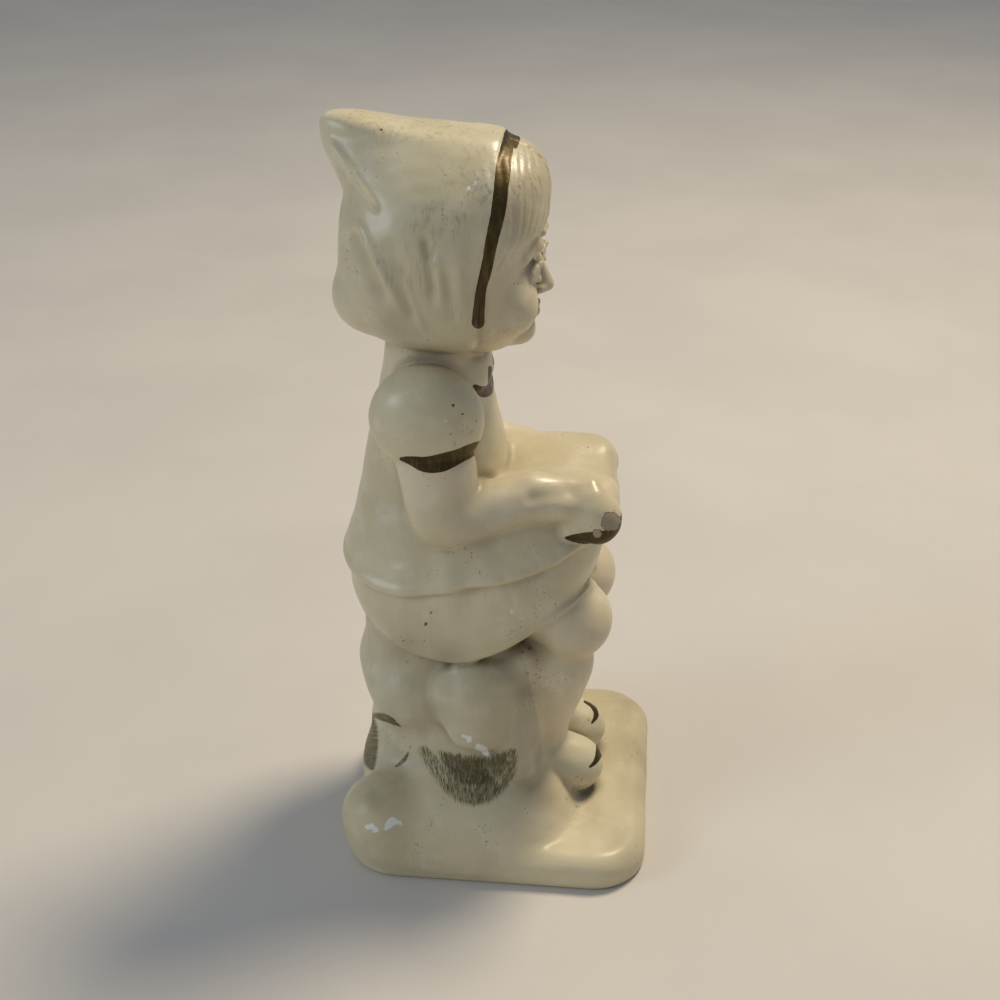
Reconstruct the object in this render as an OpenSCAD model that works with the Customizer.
// Seated child with an open book on a tree stump, cast in one with a square plinth.
// Millimetres, Z up. The child looks along -Y; the origin is the middle of the flat underside.

/* [Plinth] */
// Width of the plinth, side to side
plinth_w = 80; // [76:1:84]
// Depth of the plinth, front to back
plinth_d = 78; // [75:1:82]
// Thickness of the plinth
plinth_h = 9; // [8:0.5:10.5]
// Radius of the upright corners
plinth_corner_r = 14; // [11:0.5:17]
// Radius of the pillowed upper edge
plinth_edge_r = 5; // [3.5:0.5:6]
// Radius of the worn lower edge
plinth_foot_r = 1.5; // [0.5:0.25:2.5]

/* [Ground and stump] */
// Distance of the mound's slope from each side of the plinth
mound_inset = 4; // [4:0.5:6]
// Depth of the ground mound
mound_d = 56; // [53:1:58]
// Rise of the mound above the plinth
mound_h = 15; // [13:0.5:17]
// Size of the root knob at the rear corner
root_w = 22; // [19:0.5:23]
// Width of the stump
stump_w = 46; // [43:0.5:49]
// Depth of the stump
stump_d = 46; // [43:0.5:49]
// Height of the stump from the plinth to the skirt
stump_h = 50; // [47:0.5:53]
// Width of the swelling at the back of the stump
burl_rear_w = 34; // [30:1:38]
// Height of the branch knob at the side of the stump
burl_side_h = 24; // [21:0.5:26]

/* [Skirt and tunic] */
// Width of the lower skirt
skirt_w = 54; // [51:0.5:57]
// Depth of the lower skirt
skirt_d = 66; // [63:0.5:69]
// Drop from the hem of the tunic to the hem of the skirt
skirt_drop = 16; // [14:0.5:18]
// How far the tunic stands out over the skirt
tunic_step = 1.4; // [0.8:0.1:2]
// Height of the tunic from its back hem to the waist
tunic_h = 24; // [22:0.5:26]
// Rise of the two hems from the seat to the knees
hem_rise = 17; // [14:0.5:19]

/* [Trunk and arms] */
// Width across the waist
bodice_w = 41; // [38:0.5:44]
// Depth of the trunk at the waist
bodice_d = 37; // [35:0.5:39]
// Height of the trunk from the waist to the neck
bodice_h = 36; // [34:0.5:38]
// Width across the collar
collar_w = 34; // [32:0.5:36]
// Height of the collar
collar_h = 8; // [7:0.5:9]
// Width of the neck
neck_w = 30; // [28:0.5:32]
// Height of a puffed sleeve
sleeve_h = 27; // [25:0.5:29]
// Thickness of the bare upper arm
arm_w = 18; // [16:0.5:19]
// Thickness of the wrist
wrist_w = 11.5; // [10:0.25:12.5]
// Length of a hand
hand_len = 15; // [13:0.5:16]

/* [Head] */
// Width of the head
head_w = 40; // [38:0.5:41]
// Depth of the head in front of the scarf edge
head_d = 17; // [15:0.5:18]
// Height of the head from the chin to the crown
head_h = 49; // [47:0.5:51]
// Thickness of the hair over the head
hair_t = 1; // [0.8:0.1:1.4]
// Width of the scarf
kerchief_w = 45; // [43:0.5:47]
// Depth of the scarf from its front edge to the back
kerchief_d = 39; // [37:0.5:41]
// Height of the scarf from the nape to the peak
kerchief_h = 55; // [53:0.5:57]
// Width of the swelling low at the back of the scarf
bun_w = 30; // [27:0.5:33]

/* [Book] */
// Width of the open book
book_w = 41; // [38:0.5:44]
// Length of the book along the lap
book_len = 30; // [28:0.5:32]
// Height of the book body at its outer edges
book_h = 11; // [10:0.5:12]
// How far the middle of the open book lies below its outer edges
book_dip = 3; // [2:0.5:4]
// Turn of the book on the lap
book_turn = 4; // [0:0.5:6]
// Thickness of a page block
page_t = 2; // [1.6:0.1:2.4]
// Margin of the cover around the page blocks
page_margin = 1.4; // [1:0.1:1.8]

/* [Legs] */
// Distance between the middles of the knees
knee_gap = 23; // [21:0.5:24]
// Thickness of a knee
knee_w = 25; // [23:0.5:26]
// Thickness of a calf
calf_w = 15.5; // [14:0.5:17]
// Distance between the middles of the shoes
shoe_gap = 16.5; // [15.5:0.5:18]
// Length of a shoe
shoe_len = 19; // [17:0.5:20]
// Width of a shoe
shoe_w = 15; // [13.5:0.5:15.5]
// Height of a shoe
shoe_h = 16; // [14:0.5:17]

/* [Hidden] */
right = -1;
left = 1;
// How deep a form runs into the form that trims it
bury = 3;
// Sides of a lofted form and steps between its listed rings
loft_sides = 28;
loft_steps = 2;
// Sides of the round limbs
limb_sides = 20;
// Upper levels of the ground, the skirt's hem, the tunic's hem, the waist and the neck
ground_z = plinth_h;
hem_z = ground_z + stump_h;
tunic_z = hem_z + skirt_drop;
waist_z = tunic_z + tunic_h;
neck_z = waist_z + bodice_h;
// The chin overlaps the neck by this much
chin_drop = 2;
chin_z = neck_z - chin_drop;
// Width of the ground mound
mound_w = plinth_w - 2 * mound_inset;
// Middles of the mound, stump, seat, trunk and neck, front to back
mound_y = mound_d * 0.16;
stump_y = stump_d * 0.2935;
seat_y = skirt_d * 0.109;
trunk_y = bodice_d * 0.473;
neck_y = trunk_y - 1.5;
// Middle of the lower legs, front to back
knee_y = -skirt_d * 0.235;
// Distance of the shoulders from the middle of the trunk
arm_x = bodice_w * 0.463;
// Depth of the sleeves and of the collar, and height of the neck
sleeve_d = sleeve_h;
sleeve_w = sleeve_h * 0.74;
collar_d = collar_w * 0.78;
neck_h = neck_w * 0.733;
// Plane of the scarf edge at the chin, and its lean in degrees
edge_y = head_d * 0.353;
edge_lean = 7;
// Size of the round swelling of the scarf, front to back
bun_d = bun_w * 0.63;
// Front end and underside of the book
book_y = -book_len * 0.927;
book_z = waist_z - 10;
// Roundings of the book: its corners, the height of its edges, and its spine
book_corner = 10;
book_edge = 8;
book_spine = 4;
// Lower end of a shin
ankle_z = ground_z + 19;
// Reach of the blocks that trim a form to one side of a plane
trim = kerchief_h * 2;
ivory = [0.9, 0.86, 0.74];
cloth = [0.86, 0.8, 0.66];
skin_tone = [0.93, 0.88, 0.78];
bark = [0.72, 0.66, 0.52];

// Smooth curve through the listed points; t counts along the list
function bend(list, t) = let (
    last = len(list) - 1,
    i = min(last - 1, floor(t)),
    f = t - i,
    p0 = list[max(0, i - 1)],
    p1 = list[i],
    p2 = list[i + 1],
    p3 = list[min(last, i + 2)]
) 0.5 * (2 * p1 + f * (p2 - p0) + f * f * (2 * p0 - 5 * p1 + 4 * p2 - p3)
    + f * f * f * (3 * p1 - p0 - 3 * p2 + p3));

// Point on a soft-cornered outline: squareness 2 is an ellipse, more is squarer
function soft(a, square) = [
    sign(cos(a)) * pow(abs(cos(a)), 2 / square),
    sign(sin(a)) * pow(abs(sin(a)), 2 / square)
];

// One ring from [height, back, front, half width, squareness, narrowing to the back]
function ring_of(s, size) = [for (i = [0:loft_sides - 1]) let (
    p = soft(i * 360 / loft_sides, s[4]),
    middle = (s[1] + s[2]) / 2,
    reach = (s[1] - s[2]) / 2
) [
    p[0] * s[3] * (1 - s[5] * p[1]) * size[0] / 2,
    (middle + reach * p[1]) * size[1] / 2,
    s[0] * size[2]
]];

// Rings between the listed ones, all in shares of the form's own size
function rings_of(list, size) = [for (k = [0:(len(list) - 1) * loft_steps])
    ring_of(bend(list, k / loft_steps), size)];

function middle_of(ring) = [for (i = [0:len(ring)]) 1] * [each ring, [0, 0, 0]] / len(ring);

// Closed solid through a stack of rings
module skin(rings) {
    n = len(rings[0]);
    m = len(rings);
    points = [for (r = rings) each r, middle_of(rings[0]), middle_of(rings[m - 1])];
    sides = [for (r = [0:m - 2], i = [0:n - 1]) let (a = r * n, j = (i + 1) % n)
        each [[a + i, a + n + i, a + j], [a + j, a + n + i, a + n + j]]];
    ends = [for (i = [0:n - 1]) let (j = (i + 1) % n, top = (m - 1) * n)
        each [[m * n, i, j], [m * n + 1, top + j, top + i]]];
    polyhedron(points, concat(sides, ends), convexity = 4);
}

module loft(list, size) {
    skin(rings_of(list, size));
}

// Ball with its own width, depth and height
module ball(size) {
    scale(size / 2) sphere(1, $fn = limb_sides);
}

// First form less all the others, kept as one closed mesh
module carved() {
    resize([0, 0, 0]) difference() {
        children(0);
        children([1:1:$children - 1]);
    }
}

// Everything across the middle from the given side
module other_side(side) {
    translate([side < 0 ? 0 : -trim, -trim, 0]) cube([trim, 2 * trim, 2 * trim]);
}

// Plinth
module rim_profile(reach) {
    square([reach - plinth_edge_r, plinth_h]);
    square([reach - plinth_foot_r, plinth_h - plinth_edge_r]);
    translate([0, plinth_foot_r])
        square([reach, plinth_h - plinth_edge_r - plinth_foot_r]);
    translate([reach - plinth_edge_r, plinth_h - plinth_edge_r]) intersection() {
        circle(plinth_edge_r, $fn = 96);
        square(plinth_edge_r);
    }
    translate([reach - plinth_foot_r, plinth_foot_r])
        circle(plinth_foot_r, $fn = 24);
}

module plinth_slab(across, along) {
    translate([0, along / 2, 0]) rotate([90, 0, 0]) linear_extrude(along) {
        rim_profile(across / 2);
        mirror([1, 0, 0]) rim_profile(across / 2);
    }
}

module plinth_form() {
    corner_x = plinth_w / 2 - plinth_corner_r;
    corner_y = plinth_d / 2 - plinth_corner_r;
    plinth_slab(plinth_w, 2 * corner_y);
    rotate(90) plinth_slab(plinth_d, 2 * corner_x);
    for (x = [-corner_x, corner_x], y = [-corner_y, corner_y])
        translate([x, y, 0]) rotate_extrude($fn = 96) rim_profile(plinth_corner_r);
}

module plinth() {
    color(ivory) plinth_form();
}

// Ground and stump
module mound_form() {
    translate([0, mound_y, ground_z]) loft([
        [-0.35, 1.02, -1.05, 1.1, 3.4, 0],
        [-0.05, 1.03, -1.06, 1.1, 3.2, 0],
        [0.3, 0.99, -1, 1.05, 2.8, 0],
        [0.62, 0.9, -0.88, 0.92, 2.5, 0],
        [0.87, 0.76, -0.66, 0.7, 2.3, 0],
        [1, 0.4, -0.3, 0.36, 2.2, 0]
    ], [mound_w, mound_d, mound_h]);
}

module mound() {
    color(bark) carved() {
        mound_form();
        plinth_form();
    }
}

module stump_form() {
    translate([0, stump_y, ground_z]) loft([
        [0.08, 1.08, -1.06, 1.1, 2.6, 0],
        [0.24, 1.01, -0.98, 1, 2.7, 0],
        [0.45, 0.96, -0.92, 0.94, 2.8, 0],
        [0.7, 0.96, -0.9, 0.95, 2.8, 0],
        [0.9, 1, -0.92, 0.98, 2.8, 0],
        [1.08, 1, -0.94, 0.98, 2.8, 0]
    ], [stump_w, stump_d, stump_h]);
    // Front edges, which stand out beside the shins
    for (side = [right, left]) hull() {
        translate([side * stump_w * 0.424, stump_y - stump_d * 0.315, ground_z + stump_h * 0.84])
            ball([9, 9, 9]);
        translate([side * stump_w * 0.446, stump_y - stump_d * 0.391, ground_z + stump_h * 0.3])
            ball([10, 11, 10]);
    }
}

module stump() {
    color(bark) carved() {
        stump_form();
        mound_form();
        skirt_form();
    }
}

module root_form() {
    translate([11.5 - plinth_w / 2, plinth_d / 2 - 9.5, ground_z + 2.5])
        ball([root_w, root_w * 0.98, root_w * 0.98]);
}

module root_knob() {
    color(bark) carved() {
        root_form();
        plinth_form();
        mound_form();
        stump_form();
    }
}

module burl_rear_form() {
    translate([-3, stump_y + stump_d / 2 - 8, ground_z + stump_h * 0.74])
        rotate([-8, 0, 0]) ball([burl_rear_w, burl_rear_w * 0.59, burl_rear_w * 0.7]);
    translate([-15, stump_y + stump_d / 2 - 14.5, ground_z + stump_h * 0.68])
        ball([burl_rear_w * 0.59, burl_rear_w * 0.7, burl_rear_w * 0.68]);
}

module burl_rear() {
    color(bark) carved() {
        burl_rear_form();
        stump_form();
        skirt_form();
        mound_form();
    }
}

module burl_side_form() {
    hull() {
        translate([1.5 - stump_w / 2, stump_y - 6.5, ground_z + stump_h * 0.75])
            ball([burl_side_h * 0.63, burl_side_h * 0.92, burl_side_h]);
        translate([-stump_w / 2, stump_y - 8, ground_z + stump_h * 0.57])
            ball([burl_side_h * 0.48, burl_side_h * 0.63, burl_side_h * 0.63]);
    }
}

module burl_side() {
    color(bark) carved() {
        burl_side_form();
        stump_form();
        burl_rear_form();
        skirt_form();
    }
}

// Line of a hem in shares of its rise, from the front (0) to the back (1) of the garment
tunic_hem = [0.97, 0.78, 0.56, 0.42, 0.33, 0.2, 0.1, 0.1, 0.18];
skirt_hem = [1.14, 0.76, 0.42, 0.12, -0.08, -0.08, 0.02, 0.24, 0.36];
function hem_at(line, y, d) = let (t = (y - seat_y + d / 2) / d)
    hem_rise * bend(line, max(0, min(1, t)) * (len(line) - 1));

// Garment rings: [height, depth share, width share, share of the tunic's, of the skirt's hem]
function drape(list, w, d, z) = [for (k = [0:(len(list) - 1) * loft_steps]) let (
    s = bend(list, k / loft_steps)
) [for (i = [0:loft_sides - 1]) let (
    p = soft(i * 360 / loft_sides, 2.5),
    y = seat_y + p[1] * d / 2 * s[1]
) [
    p[0] * w / 2 * s[2] * (1 + 0.03 * p[1]),
    y,
    z + s[0] + s[3] * hem_at(tunic_hem, y, d) + s[4] * hem_at(skirt_hem, y, d)
]]];

module skirt_form() {
    skin(drape([
        [0, 0.88, 0.9, 0, 1],
        [2.5, 0.95, 0.97, 0, 1],
        [8, 0.985, 1, 0.4, 0.6],
        [skirt_drop, 0.98, 0.98, 1, 0],
        [skirt_drop + bury, 0.93, 0.93, 1, 0]
    ], skirt_w, skirt_d, hem_z));
}

module skirt() {
    color(cloth) carved() {
        skirt_form();
        tunic_form();
    }
}

module tunic_form() {
    w = skirt_w + 2 * tunic_step;
    d = skirt_d + 2 * tunic_step;
    skin(drape([
        [0, 0.96, 0.96, 1, 0],
        [1.2, 0.99, 0.99, 1, 0],
        [4, 0.97, 0.96, 0.97, 0],
        [tunic_h * 0.5, 0.91, 0.88, 0.6, 0],
        [tunic_h * 0.8, 0.86, 0.8, 0.25, 0],
        [tunic_h, 0.8, 0.68, 0, 0]
    ], w, d, tunic_z));
}

module tunic() {
    color(cloth) tunic_form();
}

// Trunk
module bodice_form() {
    translate([0, trunk_y, waist_z]) loft([
        [-0.3, 1.04, -0.95, 1.02, 2.4, 0],
        [0, 1, -0.98, 0.94, 2.4, 0],
        [0.25, 0.92, -0.91, 0.88, 2.4, 0],
        [0.5, 0.8, -0.79, 0.87, 2.4, 0],
        [0.7, 0.71, -0.735, 0.84, 2.3, 0],
        [0.83, 0.64, -0.68, 0.68, 2.2, 0],
        [0.9, 0.52, -0.56, 0.48, 2.2, 0],
        [0.93, 0.36, -0.4, 0.28, 2.2, 0]
    ], [bodice_w, bodice_d, bodice_h]);
}

module bodice() {
    color(cloth) carved() {
        bodice_form();
        tunic_form();
    }
}

module neck_form() {
    translate([0, neck_y, neck_z - 12]) loft([
        [0, 1.16, -0.86, 1.04, 2.6, 0],
        [0.3, 1.12, -0.84, 1, 2.6, 0],
        [0.6, 1.06, -0.8, 0.98, 2.4, 0],
        [1, 0.96, -0.75, 0.95, 2.2, 0]
    ], [neck_w, neck_w * 0.8, neck_h]);
}

module neck() {
    color(skin_tone) carved() {
        neck_form();
        bodice_form();
        kerchief_form();
        head_form();
    }
}

module collar_form() {
    translate([0, neck_y, neck_z - collar_h]) rotate([-12, 0, 0]) loft([
        [-0.6, 0.8, -0.84, 0.9, 2.2, 0],
        [-0.45, 0.9, -0.92, 1, 2.2, 0],
        [-0.1, 0.9, -0.93, 0.98, 2.2, 0],
        [0.3, 0.86, -0.9, 0.9, 2.2, 0],
        [0.6, 0.7, -0.8, 0.74, 2.2, 0]
    ], [collar_w, collar_d, collar_h]);
}

module collar() {
    color(cloth) carved() {
        collar_form();
        bodice_form();
        neck_form();
        kerchief_form();
        head_form();
        sleeve_form(right);
        sleeve_form(left);
    }
}

// Head
module head_form() {
    translate([0, edge_y, chin_z]) loft([
        [0, 0.7, -0.55, 0.26, 2, 0],
        [0.06, 0.9, -1.02, 0.58, 2.1, 0],
        [0.17, 1, -1.32, 0.84, 2.2, 0],
        [0.32, 1, -1.46, 0.96, 2.2, 0],
        [0.5, 1, -1.5, 1, 2.2, 0],
        [0.66, 1, -1.6, 0.98, 2.2, 0],
        [0.82, 1, -1.46, 0.82, 2.2, 0],
        [0.93, 0.9, -1, 0.54, 2.1, 0],
        [1, 0.6, -0.3, 0.2, 2, 0]
    ], [head_w, head_d, head_h]);
}

module head() {
    color(skin_tone) carved() {
        head_form();
        kerchief_form();
    }
}

module hair_form() {
    translate([0, edge_y, chin_z]) loft([
        [0.25, 0.9, -0.3, 0.92, 2.2, 0],
        [0.34, 1, -0.6, 1, 2.2, 0],
        [0.46, 1, -0.95, 1.02, 2.2, 0],
        [0.56, 1, -1.45, 1.01, 2.2, 0],
        [0.64, 1, -1.78, 1, 2.2, 0],
        [0.72, 1, -1.86, 0.97, 2.2, 0],
        [0.82, 1, -1.85, 0.89, 2.2, 0],
        [0.9, 1, -1.7, 0.76, 2.2, 0],
        [0.96, 0.95, -1.42, 0.58, 2.1, 0],
        [1, 0.9, -1, 0.42, 2.1, 0],
        [1.03, 0.8, -0.5, 0.28, 2, 0]
    ], [head_w + 2 * hair_t, head_d, head_h]);
}

module hair() {
    color(ivory) carved() {
        hair_form();
        head_form();
        kerchief_form();
    }
}

// Space in front of the front edge of the scarf
module scarf_cut() {
    translate([0, edge_y, chin_z + chin_drop]) rotate([edge_lean, 0, 0])
        translate([-trim / 2, -trim, -trim / 2]) cube([trim, trim, trim * 1.5]);
}

module kerchief_form() {
    difference() {
        translate([0, edge_y, chin_z]) loft([
            [0.05, 1.1, -0.2, 0.6, 2.2, 0],
            [0.1, 1.4, -0.6, 0.78, 2.2, 0.02],
            [0.15, 1.6, -0.8, 0.88, 2.3, 0.03],
            [0.25, 1.7, -0.8, 0.97, 2.3, 0.04],
            [0.42, 1.7, -0.8, 1, 2.3, 0.05],
            [0.57, 1.67, -0.8, 0.98, 2.3, 0.06],
            [0.69, 1.61, -0.8, 0.88, 2.3, 0.1],
            [0.77, 1.72, -0.77, 0.75, 2.2, 0.2],
            [0.85, 1.84, -0.72, 0.57, 2.1, 0.25],
            [0.92, 1.88, -0.4, 0.38, 2.1, 0.25],
            [0.945, 1.88, 0.4, 0.31, 2, 0.2],
            [0.97, 1.86, 1, 0.24, 2, 0.1],
            [0.99, 1.79, 1.28, 0.15, 2, 0],
            [1, 1.68, 1.45, 0.05, 2, 0]
        ], [kerchief_w, kerchief_d, kerchief_h]);
        scarf_cut();
    }
}

module kerchief() {
    color(ivory) resize([0, 0, 0]) kerchief_form();
}

module bun_form() {
    translate([0, edge_y + kerchief_d - 13.2, chin_z + 13])
        ball([bun_w, bun_d, bun_d * 0.95]);
}

module kerchief_bun() {
    color(ivory) carved() {
        bun_form();
        kerchief_form();
        bodice_form();
        neck_form();
    }
}

// Arms: the left sleeve sits a little further back than the right one
module sleeve_form(side) {
    translate([side * arm_x, trunk_y + 0.7 + side * 1.2, neck_z - sleeve_h / 2])
        rotate([6, side * 8, 0]) ball([sleeve_w, sleeve_d, sleeve_h]);
}

module sleeve(side) {
    color(cloth) carved() {
        sleeve_form(side);
        bodice_form();
        neck_form();
    }
}

module arm_form(side) {
    hull() {
        translate([side * (arm_x + 0.5), trunk_y - 2.5, waist_z + bodice_h / 3])
            ball([arm_w * 0.95, arm_w * 1.05, arm_w * 0.7]);
        translate([side * (arm_x + 1), trunk_y - 4.5, waist_z - 1.5])
            ball([arm_w * 0.92, arm_w, arm_w * 0.95]);
    }
}

module arm(side) {
    color(skin_tone) carved() {
        arm_form(side);
        sleeve_form(side);
        bodice_form();
        tunic_form();
    }
}

// The right wrist rests on the book, the left one lies lower beside it
function wrist_at(side) = side < 0
    ? [-book_w * 0.415, trunk_y - 25.5, waist_z + 2.2]
    : [book_w * 0.537, trunk_y - 28, waist_z - 7.5];

module forearm_form(side) {
    hull() {
        translate([side * (arm_x + 1), trunk_y - 8, waist_z - 2])
            ball([arm_w * 0.86, arm_w * 0.88, arm_w * 0.86]);
        translate(wrist_at(side)) ball([wrist_w, wrist_w, wrist_w]);
    }
}

module forearm(side) {
    color(skin_tone) carved() {
        forearm_form(side);
        arm_form(side);
        bodice_form();
        tunic_form();
        skirt_form();
        book_form();
        page_form(side);
    }
}

module hand_form(side) {
    translate(wrist_at(side)) hull() {
        ball([wrist_w * 1.04, wrist_w * 1.04, wrist_w * 1.02]);
        translate([0, -hand_len * 0.45, 0])
            ball([wrist_w * 1.13, hand_len * 0.73, wrist_w * 0.87]);
    }
}

module hand(side) {
    color(skin_tone) carved() {
        hand_form(side);
        forearm_form(side);
        book_form();
        page_form(side);
        tunic_form();
        skirt_form();
    }
}

// Book
module book_half(side, inset, low, high) {
    hull() {
        for (y = [inset + book_corner / 2, book_len - inset - book_corner / 2],
             z = [low + book_edge / 2, high - book_edge / 2])
            translate([side * (book_w / 2 - inset - book_corner / 2), book_y + y, z])
                ball([book_corner, book_corner, book_edge]);
        for (y = [inset + book_spine / 2, book_len - inset - book_spine / 2]) {
            translate([side * book_w / 4, book_y + y, high - 1.5])
                ball([book_spine, book_spine, book_spine]);
            for (z = [low + book_spine / 2, high - book_dip - book_spine / 2])
                translate([side * 0.2, book_y + y, z])
                    ball([book_spine, book_spine, book_spine]);
        }
    }
}

module book_form() {
    rotate(book_turn) {
        book_half(right, 0, book_z, book_z + book_h);
        book_half(left, 0, book_z, book_z + book_h);
    }
    // Pillowed near corner of the cover, below the right hand
    hull() {
        translate([1.2 - book_w / 2, book_y + book_len * 0.34, book_z + book_h * 0.55])
            ball([book_len * 0.23, book_len * 0.2, book_h * 0.6]);
        translate([2.2 - book_w / 2, book_y + book_len * 0.14, book_z + book_h * 0.73])
            ball([book_len * 0.37, book_len * 0.38, book_h * 1.18]);
    }
}

module book_cover() {
    color(cloth) carved() {
        book_form();
        tunic_form();
        skirt_form();
        bodice_form();
    }
}

module page_form(side) {
    rotate(book_turn) translate([0, 0, page_t])
        book_half(side, page_margin, book_z + book_h / 3, book_z + book_h);
}

module page(side) {
    color(ivory) carved() {
        page_form(side);
        book_form();
        bodice_form();
        tunic_form();
        rotate(book_turn) other_side(side);
    }
}

// Legs
module knee_form(side) {
    hull() {
        translate([side * knee_gap / 2, knee_y - 2, hem_z + 5.3])
            ball([knee_w * 0.88, knee_w * 0.84, knee_w * 0.82]);
        translate([side * knee_gap / 2, knee_y + 6, hem_z + 11])
            ball([knee_w * 0.86, knee_w * 0.88, knee_w * 0.72]);
    }
}

module knee(side) {
    color(skin_tone) carved() {
        knee_form(side);
        skirt_form();
        tunic_form();
        stump_form();
        other_side(side);
    }
}

module ankle(side) {
    translate([side * shoe_gap / 2, knee_y + 3.8, ankle_z])
        ball([calf_w * 0.64, calf_w * 0.66, calf_w * 0.77]);
}

module shin_form(side) {
    hull() {
        translate([side * knee_gap / 2, knee_y + 1.3, hem_z - 7])
            ball([calf_w * 1.13, calf_w * 1.22, calf_w * 1.68]);
        ankle(side);
    }
    hull() {
        ankle(side);
        translate([0, 0, -8]) ankle(side);
    }
}

module shin(side) {
    color(skin_tone) carved() {
        shin_form(side);
        knee_form(side);
        skirt_form();
        stump_form();
        mound_form();
        other_side(side);
    }
}

module shoe_form(side) {
    hull() {
        translate([side * shoe_gap / 2, knee_y - 2.5, ground_z + shoe_h * 0.44])
            ball([shoe_w, shoe_len * 0.95, shoe_h]);
        translate([side * shoe_gap / 2, knee_y + 4, ground_z + shoe_h * 0.6])
            ball([shoe_w * 0.9, shoe_len * 0.7, shoe_h * 1.1]);
    }
}

module shoe(side) {
    color(cloth) carved() {
        shoe_form(side);
        shin_form(side);
        plinth_form();
        mound_form();
        stump_form();
        other_side(side);
    }
}

plinth();
mound();
root_knob();
stump();
burl_rear();
burl_side();
skirt();
tunic();
bodice();
collar();
neck();
head();
hair();
kerchief();
kerchief_bun();
sleeve(right);  // sleeve_right
sleeve(left);  // sleeve_left
arm(right);  // arm_right
arm(left);  // arm_left
forearm(right);  // forearm_right
forearm(left);  // forearm_left
hand(right);  // hand_right
hand(left);  // hand_left
book_cover();
page(right);  // page_right
page(left);  // page_left
knee(right);  // knee_right
knee(left);  // knee_left
shin(right);  // shin_right
shin(left);  // shin_left
shoe(right);  // shoe_right
shoe(left);  // shoe_left
